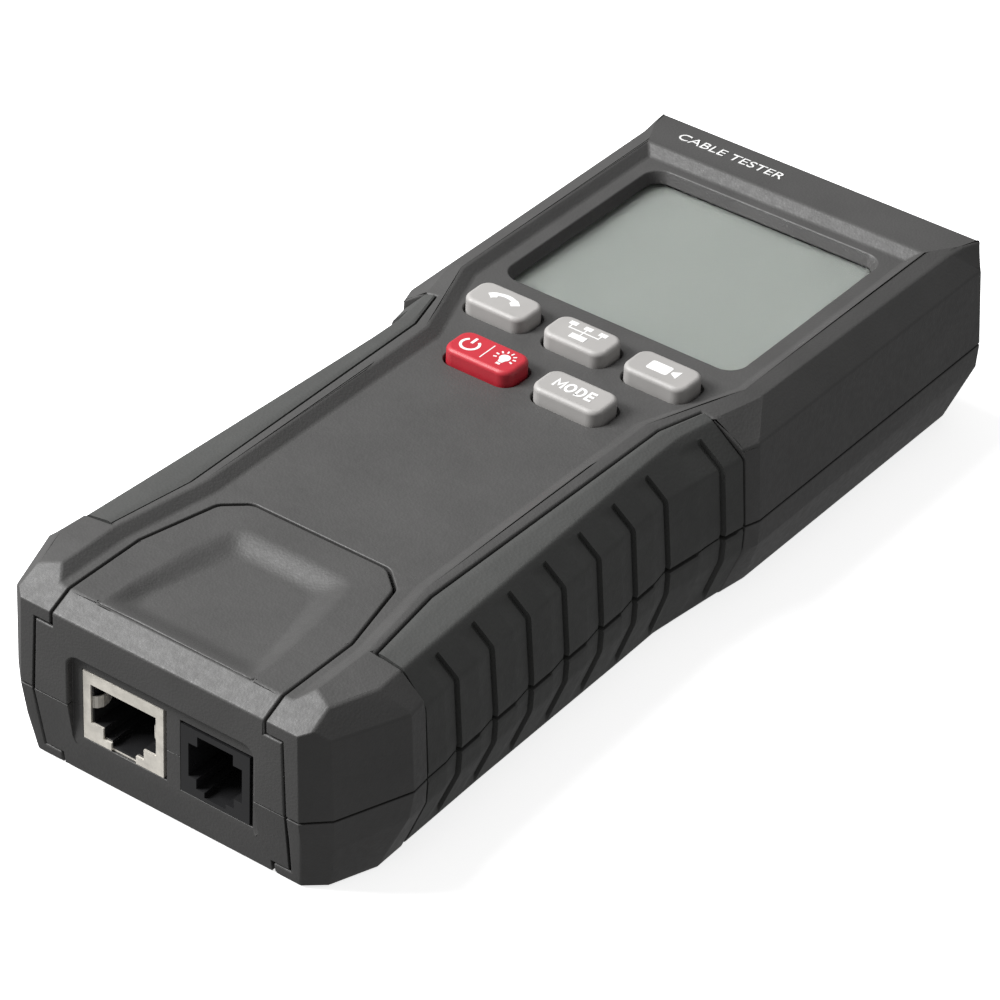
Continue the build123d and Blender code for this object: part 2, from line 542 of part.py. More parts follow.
# ---------------------------------------------------------------- rear housing
with BuildPart() as rear_housing:
    for z, outline in ((0, BASE_LINE), (BELLY, BELLY_LINE), (PARTING, PARTING_LINE)):
        with BuildSketch(Plane.XY.offset(z)):
            Polygon(*whole(outline), align=None)
    loft(ruled=True)
    for z, outline in ((BASE_SKIN, CAVITY_BASE), (BELLY, CAVITY_BELLY), (PARTING + 1, CAVITY_PARTING)):
        with BuildSketch(Plane.XY.offset(z)):
            Polygon(*whole(outline), align=None)
    loft(ruled=True, mode=Mode.SUBTRACT)
    with BuildSketch(Plane.XY.offset(ARM_POCKET_LOW)):
        Polygon(*ARM_POCKET, align=None)
        mirror(about=Plane.YZ)
    extrude(amount=PARTING, mode=Mode.SUBTRACT)
    # battery compartment: a closed box that opens only downwards, with a ledge for its door
    with BuildSketch(Plane.XY.offset(BASE_SKIN)):
        with Locations((0, (BAY_NEAR + BAY_FAR) / 2)):
            Rectangle(2 * (BAY_HALF + BAY_WALL), BAY_FAR - BAY_NEAR + 2 * BAY_WALL)
    extrude(amount=BAY_TOP + BAY_WALL - BASE_SKIN)
    with BuildSketch(Plane.XY.offset(-1)):
        with Locations((0, (BAY_NEAR + BAY_FAR) / 2)):
            Rectangle(2 * BAY_HALF, BAY_FAR - BAY_NEAR)
    extrude(amount=BAY_TOP + 1, mode=Mode.SUBTRACT)
    with BuildSketch(Plane.XY.offset(-1)):
        with Locations((0, (DOOR_NEAR - DOOR_SWING_ROOM + DOOR_FAR + DOOR_GAP) / 2)):
            Rectangle(2 * (DOOR_HALF + DOOR_GAP), DOOR_FAR + DOOR_GAP - DOOR_NEAR + DOOR_SWING_ROOM)
    extrude(amount=DOOR_THICK + DOOR_GAP + 1, mode=Mode.SUBTRACT)
    for side in (-1, 1):
        with BuildSketch(Plane.YZ.offset(side * DOOR_HALF)):
            with Locations(PIN_PLACE):
                Circle(PIN_RADIUS + PIN_FIT)
        extrude(amount=side * (PIN_LONG + 0.3), mode=Mode.SUBTRACT)
    # bosses for the long screws, open from below down to each seat
    with BuildSketch(Plane.XY.offset(BASE_SKIN)):
        with Locations(*FREE_BOSSES):
            Circle(SCREW_WELL + 1.2)
    extrude(amount=PARTING - BASE_SKIN)
    with BuildSketch(Plane.XY.offset(-1)):
        with Locations(*HOUSING_SCREWS):
            Circle(SCREW_WELL)
    extrude(amount=SCREW_SEAT + 1, mode=Mode.SUBTRACT)
    with BuildSketch(Plane.XY):
        with Locations(*HOUSING_SCREWS):
            Circle(SCREW_SHANK + 0.15)
    extrude(amount=PARTING + 1, mode=Mode.SUBTRACT)
    add(remote_bay(), mode=Mode.SUBTRACT)
    add(recess(lower_recess_section), mode=Mode.SUBTRACT)
    with BuildSketch(Plane.XZ.offset(-END - 1)):
        with Locations(*FAR_SOCKETS):
            Rectangle(NET_WIDTH + 0.4, NET_HEIGHT + 0.1)
    extrude(amount=5, mode=Mode.SUBTRACT)
save(rear_housing, "rear_housing")


# ---------------------------------------------------------------- display
with BuildPart() as display_window:
    with BuildSketch(Plane.XY.offset(UNDER_PANEL - PANE_THICK)):
        with Locations((0, WINDOW_MID)):
            RectangleRounded(*PANE, 2.0)
    extrude(amount=PANE_THICK)
save(display_window, "display_window")

with BuildPart() as display_glass:
    with BuildSketch(Plane.XY.offset(GLASS_LOW)):
        with Locations((0, WINDOW_MID)):
            Rectangle(*GLASS)
    extrude(amount=GLASS_THICK)
save(display_glass, "display_glass")

with BuildPart() as display_tray:
    with BuildSketch(Plane.XY.offset(BOARD_TOP)):
        with Locations((0, WINDOW_MID)):
            RectangleRounded(*TRAY, 1.5)
    extrude(amount=GLASS_LOW + GLASS_THICK - BOARD_TOP)
    with BuildSketch(Plane.XY.offset(GLASS_LOW)):
        with Locations((0, WINDOW_MID)):
            Rectangle(GLASS[0] + 0.4, GLASS[1] + 0.4)
    extrude(amount=GLASS_THICK, mode=Mode.SUBTRACT)
    with BuildSketch(Plane.XY.offset(BOARD_TOP)):
        with Locations((0, STRIP_Y)):
            Rectangle(STRIP[0] + 0.4, STRIP[1] + 0.3)
    extrude(amount=GLASS_LOW - BOARD_TOP, mode=Mode.SUBTRACT)
save(display_tray, "display_tray")

with BuildPart() as display_contact_strip:
    with BuildSketch(Plane.XY.offset(BOARD_TOP)):
        with Locations((0, STRIP_Y)):
            Rectangle(*STRIP)
    extrude(amount=GLASS_LOW - BOARD_TOP)
save(display_contact_strip, "display_contact_strip")


# ---------------------------------------------------------------- keypad
def key(place):
    """One key: a rounded cap, a flange that stops it under the panel and a plunger."""
    with BuildPart() as cap:
        with BuildSketch(Plane.XY.offset(FLANGE_TOP)):
            with Locations(place):
                RectangleRounded(key_width(place), KEY_LENGTH, KEY_CORNER)
        extrude(amount=KEY_TOP - FLANGE_TOP)
        fillet(cap.edges().group_by(Axis.Z)[-1], radius=KEY_ROUND)
        with BuildSketch(Plane.XY.offset(FLANGE_TOP - FLANGE_THICK)):
            with Locations(place):
                RectangleRounded(key_width(place) + 2 * FLANGE, KEY_LENGTH + 2 * FLANGE, KEY_CORNER)
        extrude(amount=FLANGE_THICK)
        with BuildSketch(Plane.XY.offset(PLUNGER_LOW)):
            with Locations(place):
                Circle(PLUNGER)
        extrude(amount=FLANGE_TOP - PLUNGER_LOW)
    return cap


for key_name, key_place in KEYS.items():
    save(key(key_place), key_name)

with BuildPart() as key_mat:
    mat_middle = (UPPER_ROW + LOWER_ROW) / 2
    with BuildSketch(Plane.XY.offset(BOARD_TOP)):
        with Locations((0, mat_middle)):
            RectangleRounded(*MAT_SIZE, 3.0)
    extrude(amount=MAT_TOP - BOARD_TOP)
    with BuildSketch(Plane.XY.offset(BOARD_TOP)):
        with Locations((0, mat_middle)):
            RectangleRounded(MAT_SIZE[0] - 2 * MAT_EDGE, MAT_SIZE[1] - 2 * MAT_EDGE, 2.0)
    extrude(amount=MAT_TOP - MAT_THICK - BOARD_TOP, mode=Mode.SUBTRACT)
    with BuildSketch(Plane.XY.offset(BOARD_TOP)):
        with Locations(*KEYS.values()):
            Circle(PLUNGER + 0.6)
    extrude(amount=MAT_TOP, mode=Mode.SUBTRACT)
save(key_mat, "key_mat")

with BuildPart() as key_domes:
    with BuildSketch(Plane.XY.offset(BOARD_TOP)):
        with Locations(*KEYS.values()):
            Circle(DOME_RADIUS)
    extrude(amount=DOME_HEIGHT)
    chamfer(key_domes.edges().group_by(Axis.Z)[-1], length=0.7 * DOME_HEIGHT)
save(key_domes, "key_domes")


# ---------------------------------------------------------------- board and its parts
with BuildPart() as main_board:
    with BuildSketch(Plane.XY.offset(BOARD_BASE)):
        with Locations((0, (BOARD_NEAR + BOARD_FAR) / 2)):
            RectangleRounded(2 * BOARD_HALF, BOARD_FAR - BOARD_NEAR, 1.5)
        with Locations(*BOARD_SCREWS):
            Circle(BOARD_SHANK + 0.15, mode=Mode.SUBTRACT)
    extrude(amount=BOARD_THICK)
save(main_board, "main_board")

CHIP_TALL = 1.4
MAIN_CHIPS = [((0, 44.0), (12.0, 12.0)), ((14.0, 44.0), (5.0, 6.0)), ((14.0, 54.0), (5.0, 6.0)),
              ((-13.0, 36.0), (6.0, 4.0))]
REMOTE_CHIPS = [((0, -70.0), (7.0, 7.0))] + [((x, y), (4.0, 3.0)) for x in (-11.0, 11.0)
                                             for y in (-72.0, -78.0)]


def chips(layout, low):
    """Flat packages standing on a board, as a list of place and size."""
    with BuildPart() as group:
        with BuildSketch(Plane.XY.offset(low)):
            for place, size in layout:
                with Locations(place):
                    Rectangle(*size)
        extrude(amount=CHIP_TALL)
    return group


save(chips(MAIN_CHIPS, BOARD_BASE - CHIP_TALL), "board_chips")
save(chips(REMOTE_CHIPS, REMOTE_BOARD + BOARD_THICK), "remote_chips")

BEEPER_PLACE, BEEPER_RADIUS, BEEPER_TALL, BEEPER_PORT = (-13.0, 56.0), 6.0, 4.2, 1.2

with BuildPart() as beeper:
    with BuildSketch(Plane.XY.offset(BOARD_BASE - BEEPER_TALL)):
        with Locations(BEEPER_PLACE):
            Circle(BEEPER_RADIUS)
    extrude(amount=BEEPER_TALL)
    with BuildSketch(Plane.XY.offset(BOARD_BASE - BEEPER_TALL)):
        with Locations(BEEPER_PLACE):
            Circle(BEEPER_PORT)
    extrude(amount=BEEPER_TALL / 3, mode=Mode.SUBTRACT)
save(beeper, "beeper")

with BuildPart() as board_screws:
    with BuildSketch(Plane.XY.offset(BOARD_BASE - BOARD_HEAD_THICK)):
        with Locations(*BOARD_SCREWS):
            Circle(BOARD_HEAD)
    extrude(amount=BOARD_HEAD_THICK)
    with BuildSketch(Plane.XY.offset(BOARD_BASE)):
        with Locations(*BOARD_SCREWS):
            Circle(BOARD_SHANK)
    extrude(amount=BOARD_THICK + BOARD_SCREW_GRIP)
save(board_screws, "board_screws")

save(screws(HOUSING_SCREWS, SCREW_TIP), "housing_screws")


# ---------------------------------------------------------------- battery and its door
BATTERY_FAR = BATTERY_NEAR + BATTERY[1]
BATTERY_MIDDLE = BATTERY_LOW + BATTERY[2] / 2

with BuildPart() as battery:
    with BuildSketch(Plane.XZ.offset(-BATTERY_NEAR)):
        with Locations((0, BATTERY_MIDDLE)):
            RectangleRounded(BATTERY[0], BATTERY[2], 2.0)
    extrude(amount=-BATTERY[1])
save(battery, "battery")

with BuildPart() as battery_snaps:
    with BuildSketch(Plane.XZ.offset(-BATTERY_FAR)):
        with Locations((-SNAP_X, BATTERY_MIDDLE)):
            Circle(2.9)
        with Locations((SNAP_X, BATTERY_MIDDLE)):
            RegularPolygon(3.9, 6)
    extrude(amount=-SNAP_TALL)
save(battery_snaps, "battery_snaps")

with BuildPart() as battery_contacts:
    plate = BATTERY_FAR + SNAP_TALL
    back = plate + CONTACT_THICK
    for x in (-SNAP_X, SNAP_X):
        with BuildSketch(Plane.YZ.offset(x - CONTACT_WIDE / 2)):
            Polygon((plate, CONTACT_LOW), (back, CONTACT_LOW), (back, CONTACT_TOP), (BAY_FAR, CONTACT_TOP),
                    (BAY_FAR, CONTACT_TOP + CONTACT_THICK), (plate, CONTACT_TOP + CONTACT_THICK),
                    align=None)
        extrude(amount=CONTACT_WIDE)
save(battery_contacts, "battery_contacts")

with BuildPart() as battery_door:
    with BuildSketch(Plane.XY.offset(DOOR_LIFT)):
        with Locations((0, (DOOR_NEAR + DOOR_FAR) / 2)):
            Rectangle(2 * DOOR_HALF, DOOR_FAR - DOOR_NEAR)
    extrude(amount=DOOR_THICK - DOOR_LIFT)
    with BuildSketch(Plane.XY.offset(DOOR_THICK)):
        with Locations((0, DOOR_PAD_Y)):
            Rectangle(*DOOR_PAD)
    extrude(amount=BATTERY_LOW - 0.1 - DOOR_THICK)
    # hinge pins at the near end
    for side in (-1, 1):
        with BuildSketch(Plane.YZ.offset(side * DOOR_HALF)):
            with Locations(PIN_PLACE):
                Circle(PIN_RADIUS)
        extrude(amount=side * PIN_LONG)
    # grooves for a fingertip at the far end, which swings open
    with BuildSketch(Plane.XY.offset(DOOR_LIFT)):
        with Locations(*[(0, DOOR_FAR - 3.5 - i * FINGER_PITCH) for i in range(FINGER_RIDGES)]):
            SlotOverall(12.0, 0.8)
    extrude(amount=0.35, mode=Mode.SUBTRACT)
save(battery_door, "battery_door")


# ---------------------------------------------------------------- sockets of the far end
far_net = Location((-FAR_SOCKET_X, END - 0.6, FAR_SOCKET_Z), (0, 0, 180))
far_phone = Location((FAR_SOCKET_X, END - 0.6, FAR_SOCKET_Z), (0, 0, 180))
placed(network_shield(), far_net, "network_socket_shield")
placed(network_body(), far_net, "network_socket_body")
placed(spring_wires(8), far_net, "network_socket_wires")
placed(phone_body(), far_phone, "phone_socket_body")
placed(spring_wires(4), far_phone, "phone_socket_wires")


# ---------------------------------------------------------------- remote
remote_net = Location((NET_X, SOCKET_FACE, NET_Z))
remote_phone = Location((PHONE_X, SOCKET_FACE, PHONE_Z))
placed(network_shield(), remote_net, "remote_network_shield")
placed(network_body(), remote_net, "remote_network_body")
placed(spring_wires(8), remote_net, "remote_network_wires")
placed(phone_body(), remote_phone, "remote_phone_body")
placed(spring_wires(4), remote_phone, "remote_phone_wires")

FACE_WALL = SOCKET_FACE + 1.8


def remote_face():
    """Shallow pocket round the sockets and the two windows that they stand in."""
    with BuildPart() as face:
        with BuildSketch(Plane.XZ.offset(END + 1)):
            with Locations(FACE_POCKET_MID):
                RectangleRounded(*FACE_POCKET, FACE_CORNER)
        extrude(amount=-(END + 1 + SOCKET_FACE))
        with BuildSketch(Plane.XZ.offset(END + 1)):
            with Locations((NET_X + 0.25, NET_Z)):
                Rectangle(NET_WIDTH + 0.7, NET_HEIGHT + 0.3)
            with Locations((PHONE_X + 0.25, PHONE_Z + 0.2)):
                Rectangle(PHONE_WIDTH + 0.7, PHONE_HEIGHT + 0.6)
        extrude(amount=-5)
    return face.part


with BuildPart() as remote_upper_shell:
    add(remote_block())
    split(bisect_by=Plane.XY.offset(PARTING + SEAM / 2), keep=Keep.TOP)
    with BuildSketch(Plane.XY.offset(PARTING)):
        add(remote_plan(-0.8, -END + 1.2))
    extrude(amount=SEAM / 2)
    with BuildSketch(Plane.XY.offset(PARTING)):
        add(remote_plan(-REMOTE_WALL, FACE_WALL))
    extrude(amount=REMOTE_CEILING - PARTING, mode=Mode.SUBTRACT)
    with BuildSketch(Plane.XY.offset(PARTING)):
        with Locations(*REMOTE_SCREWS):
            Circle(2.8)
    extrude(amount=REMOTE_CEILING - PARTING)
    with BuildSketch(Plane.XY.offset(PARTING)):
        with Locations(*REMOTE_SCREWS):
            Circle(SCREW_SHANK + THREAD_FIT)
    extrude(amount=8, mode=Mode.SUBTRACT)
    add(remote_face(), mode=Mode.SUBTRACT)
save(remote_upper_shell, "remote_upper_shell")

with BuildPart() as remote_lower_shell:
    add(remote_block())
    split(bisect_by=Plane.XY.offset(PARTING), keep=Keep.BOTTOM)
    with BuildSketch(Plane.XY.offset(REMOTE_BASE + REMOTE_WALL)):
        add(remote_plan(-REMOTE_WALL, FACE_WALL + 0.8))
    extrude(amount=PARTING, mode=Mode.SUBTRACT)
    with BuildSketch(Plane.XY.offset(REMOTE_BASE + 1)):
        with Locations(*REMOTE_SCREWS):
            Circle(SCREW_WELL + 1.2)
    extrude(amount=PARTING - REMOTE_BASE - 1)
    with BuildSketch(Plane.XY):
        with Locations(*REMOTE_SCREWS):
            Circle(SCREW_WELL)
    extrude(amount=SCREW_SEAT, mode=Mode.SUBTRACT)
    with BuildSketch(Plane.XY):
        with Locations(*REMOTE_SCREWS):
            Circle(SCREW_SHANK + 0.15)
    extrude(amount=PARTING, mode=Mode.SUBTRACT)
    add(remote_face(), mode=Mode.SUBTRACT)
save(remote_lower_shell, "remote_lower_shell")

with BuildPart() as remote_board:
    with BuildSketch(Plane.XY.offset(REMOTE_BOARD)):
        Polygon(*whole([(17.4, -83.8), (17.4, -66.0), (14.2, -54.0)]), align=None)
        with Locations(*REMOTE_SCREWS):
            Circle(3.1, mode=Mode.SUBTRACT)
    extrude(amount=BOARD_THICK)
save(remote_board, "remote_board")

save(screws(REMOTE_SCREWS, SCREW_TIP - 1), "remote_screws")
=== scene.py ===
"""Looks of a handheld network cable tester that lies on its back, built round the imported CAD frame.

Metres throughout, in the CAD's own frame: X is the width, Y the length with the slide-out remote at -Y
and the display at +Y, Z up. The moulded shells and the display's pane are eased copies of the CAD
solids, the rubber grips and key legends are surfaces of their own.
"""
import bpy
import bmesh
import json
import math
import numpy as np
from mathutils import Matrix, Vector


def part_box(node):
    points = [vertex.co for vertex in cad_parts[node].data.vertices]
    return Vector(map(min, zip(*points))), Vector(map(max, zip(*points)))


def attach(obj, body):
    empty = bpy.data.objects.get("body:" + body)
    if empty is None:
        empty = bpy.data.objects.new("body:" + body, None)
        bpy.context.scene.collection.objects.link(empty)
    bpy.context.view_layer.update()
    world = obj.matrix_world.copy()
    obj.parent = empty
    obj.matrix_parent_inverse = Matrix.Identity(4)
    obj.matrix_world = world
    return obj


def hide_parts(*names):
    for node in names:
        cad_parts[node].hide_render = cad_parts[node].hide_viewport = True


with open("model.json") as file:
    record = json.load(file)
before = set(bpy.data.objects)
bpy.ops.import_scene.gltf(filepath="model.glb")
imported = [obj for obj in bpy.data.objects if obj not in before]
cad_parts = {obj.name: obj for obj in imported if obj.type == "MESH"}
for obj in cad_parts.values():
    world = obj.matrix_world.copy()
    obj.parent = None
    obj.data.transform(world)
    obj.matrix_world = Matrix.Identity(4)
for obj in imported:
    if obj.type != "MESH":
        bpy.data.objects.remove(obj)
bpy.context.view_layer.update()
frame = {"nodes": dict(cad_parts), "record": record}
NODES = frame["nodes"]
MM = 0.001


# ------------------------------------------------------------------ camera, floor and light
CAMERA_AZIMUTH = math.radians(35.23)
CAMERA_ELEVATION = math.radians(35.24)
CAMERA_ROLL = math.radians(2.60)
CAMERA_PLACE = Vector((338.5, -482.0, 427.7)) * MM
CAMERA_LENS = 161.25


def looking(azimuth, elevation, roll, place):
    """Pose of a camera or lamp: azimuth turns it from +Y, elevation is how far down it looks, then roll."""
    ahead = Vector((-math.sin(azimuth) * math.cos(elevation), math.cos(azimuth) * math.cos(elevation),
                    -math.sin(elevation)))
    right = Vector((math.cos(azimuth), math.sin(azimuth), 0))
    up = right.cross(ahead)
    side = right * math.cos(roll) + up * math.sin(roll)
    top = up * math.cos(roll) - right * math.sin(roll)
    pose = Matrix((side, top, -ahead)).transposed().to_4x4()
    pose.translation = place
    return pose


def add_camera():
    data = bpy.data.cameras.new("camera")
    data.lens = CAMERA_LENS
    data.clip_start, data.clip_end = 0.01, 20
    camera = bpy.data.objects.new("camera", data)
    camera.matrix_world = looking(CAMERA_AZIMUTH, CAMERA_ELEVATION, CAMERA_ROLL, CAMERA_PLACE)
    bpy.context.scene.collection.objects.link(camera)
    bpy.context.scene.camera = camera


def soft_box(name, place, size, power, aim=(0, 0, 0.02)):
    """A square studio lamp at a place, facing the point it lights."""
    data = bpy.data.lights.new(name, "AREA")
    data.size, data.energy = size, power
    lamp = bpy.data.objects.new(name, data)
    toward = Vector(aim) - Vector(place)
    lamp.matrix_world = Matrix.Translation(place) @ toward.to_track_quat("-Z", "Y").to_matrix().to_4x4()
    bpy.context.scene.collection.objects.link(lamp)


def add_floor():
    """A pale floor that runs far past the view."""
    mesh = bpy.data.meshes.new("floor")
    far, down = 6.0, -0.3 * MM
    mesh.from_pydata([(-far, -far, down), (far, -far, down), (far, far, down), (-far, far, down)], [],
                     [(0, 1, 2, 3)])
    floor = bpy.data.objects.new("floor", mesh)
    bpy.context.scene.collection.objects.link(floor)
    mesh.materials.append(plain_floor())
    floor.visible_diffuse = False
    floor.visible_glossy = False


def plain_floor():
    """White paper, lit a little from below as on a light table, so that no hard shadow shows."""
    material = bpy.data.materials.new("floor_paper")
    material.use_nodes = True
    shader = material.node_tree.nodes["Principled BSDF"]
    shader.inputs["Base Color"].default_value = (0.9, 0.9, 0.9, 1)
    shader.inputs["Roughness"].default_value = 0.9
    shader.inputs["Specular IOR Level"].default_value = 0.0
    shader.inputs["Emission Color"].default_value = (1, 1, 1, 1)
    shader.inputs["Emission Strength"].default_value = 0.75
    return material


def add_light():
    world = bpy.data.worlds.new("studio")
    world.use_nodes = True
    world.node_tree.nodes["Background"].inputs["Color"].default_value = (1, 1, 1, 1)
    world.node_tree.nodes["Background"].inputs["Strength"].default_value = 0.30
    bpy.context.scene.world = world
    soft_box("key_light", (-0.95, -0.66, 0.92), 0.55, 30)
    soft_box("top_light", (-0.62, -0.12, 1.25), 0.5, 10.5)
    bpy.context.scene.view_settings.view_transform = "Standard"


# ------------------------------------------------------------------ finishes
class Finish:
    """A node-based material under construction; colours are linear RGB."""

    def __init__(self, name, color, roughness, specular=0.5):
        self.material = bpy.data.materials.new(name)
        self.material.use_nodes = True
        self.tree = self.material.node_tree
        self.shader = self.tree.nodes["Principled BSDF"]
        self.shader.inputs["Base Color"].default_value = (*color, 1)
        self.shader.inputs["Roughness"].default_value = roughness
        self.shader.inputs["Specular IOR Level"].default_value = specular
        self.color = color
        self.where = self.node("ShaderNodeTexCoord").outputs["Object"]

    def node(self, kind, **settings):
        made = self.tree.nodes.new(kind)
        for key, value in settings.items():
            setattr(made, key, value)
        return made

    def join(self, source, target):
        self.tree.links.new(source, target)

    def noise(self, scale, detail=2.0, rough=0.5):
        made = self.node("ShaderNodeTexNoise")
        made.inputs["Scale"].default_value = scale
        made.inputs["Detail"].default_value = detail
        made.inputs["Roughness"].default_value = rough
        self.join(self.where, made.inputs["Vector"])
        return made.outputs["Fac"]

    def cells(self, scale, smooth=0.6):
        made = self.node("ShaderNodeTexVoronoi", feature="SMOOTH_F1")
        made.inputs["Scale"].default_value = scale
        made.inputs["Smoothness"].default_value = smooth
        self.join(self.where, made.inputs["Vector"])
        return made.outputs["Distance"]

    def spread(self, value, low, high):
        """The value, from 0.3 to 0.7, stretched over the range from low to high."""
        made = self.node("ShaderNodeMapRange")
        made.inputs["From Min"].default_value = 0.3
        made.inputs["From Max"].default_value = 0.7
        made.inputs["To Min"].default_value = low
        made.inputs["To Max"].default_value = high
        self.join(value, made.inputs["Value"])
        return made.outputs["Result"]

    def tinted(self, value, dark, light):
        """Base colour that runs between two shares of the plain colour."""
        made = self.node("ShaderNodeMix", data_type="RGBA")
        made.inputs["A"].default_value = (*(c * dark for c in self.color), 1)
        made.inputs["B"].default_value = (*(min(c * light, 1) for c in self.color), 1)
        self.join(self.spread(value, 0, 1), made.inputs["Factor"])
        self.join(made.outputs["Result"], self.shader.inputs["Base Color"])

    def rough(self, value, low, high):
        self.join(self.spread(value, low, high), self.shader.inputs["Roughness"])

    def bumped(self, *layers):
        """Fine relief: each layer is a value, its strength and its depth in metres."""
        normal = None
        for value, strength, depth in layers:
            made = self.node("ShaderNodeBump")
            made.inputs["Strength"].default_value = strength
            made.inputs["Distance"].default_value = depth
            self.join(value, made.inputs["Height"])
            if normal:
                self.join(normal, made.inputs["Normal"])
            normal = made.outputs["Normal"]
        self.join(normal, self.shader.inputs["Normal"])


def pebbled(name, color, roughness, grain, depth, specular=0.5):
    """Moulded plastic or rubber with a spark-eroded grain: pebbles of one size over slower waves."""
    finish = Finish(name, color, roughness, specular)
    pebbles = finish.cells(1 / grain)
    waves = finish.noise(0.35 / grain, 3.0)
    finish.tinted(finish.noise(90.0, 4.0), 0.93, 1.08)
    finish.rough(waves, roughness - 0.05, roughness + 0.06)
    finish.bumped((waves, 0.35, depth), (pebbles, 0.6, depth))
    return finish


def make_finishes():
    """One finish for each material slot of the record."""
    made = {}
    made["housing_plastic"] = pebbled("housing_plastic", (0.062, 0.061, 0.060), 0.50, 0.42 * MM, 0.045 * MM)
    made["grip_rubber"] = pebbled("grip_rubber", (0.061, 0.062, 0.060), 0.60, 0.50 * MM, 0.05 * MM, 0.4)
    made["key_grey"] = pebbled("key_grey", (0.355, 0.345, 0.335), 0.46, 0.5 * MM, 0.006 * MM)
    made["key_red"] = pebbled("key_red", (0.46, 0.024, 0.038), 0.42, 0.5 * MM, 0.006 * MM)
    made["mat_rubber"] = pebbled("mat_rubber", (0.30, 0.30, 0.29), 0.6, 0.5 * MM, 0.01 * MM)
    made["tray_plastic"] = pebbled("tray_plastic", (0.03, 0.03, 0.03), 0.5, 0.4 * MM, 0.01 * MM)
    made["contact_rubber"] = pebbled("contact_rubber", (0.10, 0.10, 0.11), 0.7, 0.2 * MM, 0.01 * MM)
    made["chip_plastic"] = pebbled("chip_plastic", (0.025, 0.025, 0.025), 0.6, 0.2 * MM, 0.008 * MM)
    made["socket_plastic"] = pebbled("socket_plastic", (0.018, 0.018, 0.019), 0.32, 0.6 * MM, 0.004 * MM)
    made["battery_case"] = pebbled("battery_case", (0.06, 0.06, 0.065), 0.35, 0.8 * MM, 0.004 * MM)
    board = Finish("circuit_board", (0.02, 0.12, 0.05), 0.35)
    tracks = board.noise(420.0, 1.0)
    board.tinted(tracks, 0.7, 1.5)
    board.bumped((tracks, 0.4, 0.02 * MM))
    made["circuit_board"] = board
    for name, color, roughness in (("spring_steel", (0.55, 0.54, 0.52), 0.3),
                                   ("screw_steel", (0.46, 0.46, 0.46), 0.36),
                                   ("shield_metal", (0.90, 0.86, 0.78), 0.42),
                                   ("contact_gold", (0.80, 0.58, 0.22), 0.28)):
        metal = Finish(name, color, roughness)
        metal.shader.inputs["Metallic"].default_value = 0.45 if name == "shield_metal" else 1.0
        clouds = metal.noise(500.0, 4.0, 0.65)
        metal.tinted(clouds, 0.88, 1.1)
        metal.rough(clouds, roughness - 0.08, roughness + 0.12)
        metal.bumped((metal.noise(1500.0, 3.0), 0.25, 0.01 * MM))
        made[name] = metal
    made["display_glass"] = display_cell()
    made["clear_window"] = clear_pane()
    return {slot: finish.material for slot, finish in made.items()}


def display_cell():
    """Grey-green reflective cell: its colour drifts slowly over the glass, with a faint fine tooth."""
    cell = Finish("display_glass", (0.42, 0.455, 0.42), 0.38)
    cell.tinted(cell.noise(22.0, 2.0), 0.94, 1.06)
    cell.bumped((cell.noise(3000.0, 1.0), 0.05, 0.004 * MM))
    return cell


def clear_pane():
    """Clear polished pane."""
    pane = Finish("clear_window", (1.0, 1.0, 1.0), 0.02)
    pane.shader.inputs["Transmission Weight"].default_value = 1.0
    pane.shader.inputs["IOR"].default_value = 1.46
    smear = pane.noise(60.0, 4.0)
    pane.rough(smear, 0.015, 0.05)
    return pane


# ------------------------------------------------------------------ eased copies of the moulded shells
# degrees below which an edge is flat, above which it is rounded, and below which it may be a corner's step
FLAT_ANGLE, EDGE_ANGLE, STEP_ANGLE, STEP_LENGTH = 3, 24, 26, 4
SEAM_RADIUS, OPENING_RADIUS, HOUSING_RADIUS, REMOTE_RADIUS, JACK_RADIUS, PANE_RADIUS = (
    0.14, 0.22, 0.38, 0.35, 0.1, 0.3)


def linked(name, mesh, body, material):
    """Put a finished mesh in the scene as a piece that rides on a body."""
    piece = bpy.data.objects.new(name, mesh)
    bpy.context.scene.collection.objects.link(piece)
    mesh.materials.clear()
    mesh.materials.append(material)
    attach(piece, body)
    return piece


def eased(node, name, body, radius_of, most):
    """A copy of a CAD shell with its edges rounded as a mould leaves them.

    Doubles are merged. Each edge that turns by more than 24 degrees gets the radius that radius_of gives
    for its two ends and its angle, as a share of the largest radius. A shallower one is kept crisp, unless
    it is one of the short steps of a rounded corner or lies in a dent, where the shading runs across it.
    """
    source = NODES[node]
    mesh = bpy.data.meshes.new(name)
    work = bmesh.new()
    work.from_mesh(source.data)
    bmesh.ops.remove_doubles(work, verts=work.verts, dist=2e-6)
    if node == "remote_upper_shell":
        soften_dent(work)
    weight = work.edges.layers.float.new("bevel_weight_edge")
    for edge in work.edges:
        a, b = (v.co / MM for v in edge.verts)
        angle = math.degrees(edge.calc_face_angle(0))
        upright = abs(a.z - b.z) > 0.8 * (a - b).length
        short_step = upright and angle < STEP_ANGLE and (a - b).length < STEP_LENGTH
        if angle < FLAT_ANGLE or short_step or in_dent(a, b):
            continue
        if angle > EDGE_ANGLE:
            edge[weight] = radius_of(a, b, angle) / most
        else:
            edge.smooth = False
    for face in work.faces:
        face.smooth = True
    work.to_mesh(mesh)
    work.free()
    slot = SLOT_OF[node]
    piece = linked(name, mesh, body, FINISHES[slot])
    bevel = piece.modifiers.new("eased_edges", "BEVEL")
    bevel.limit_method = "WEIGHT"
    bevel.width = most * MM
    bevel.segments = 3
    bevel.loop_slide = False
    bevel.use_clamp_overlap = False
    bevel.miter_outer = "MITER_SHARP"
    flats = piece.modifiers.new("flat_facets", "WEIGHTED_NORMAL")
    flats.keep_sharp = True
    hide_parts(node)
    return piece


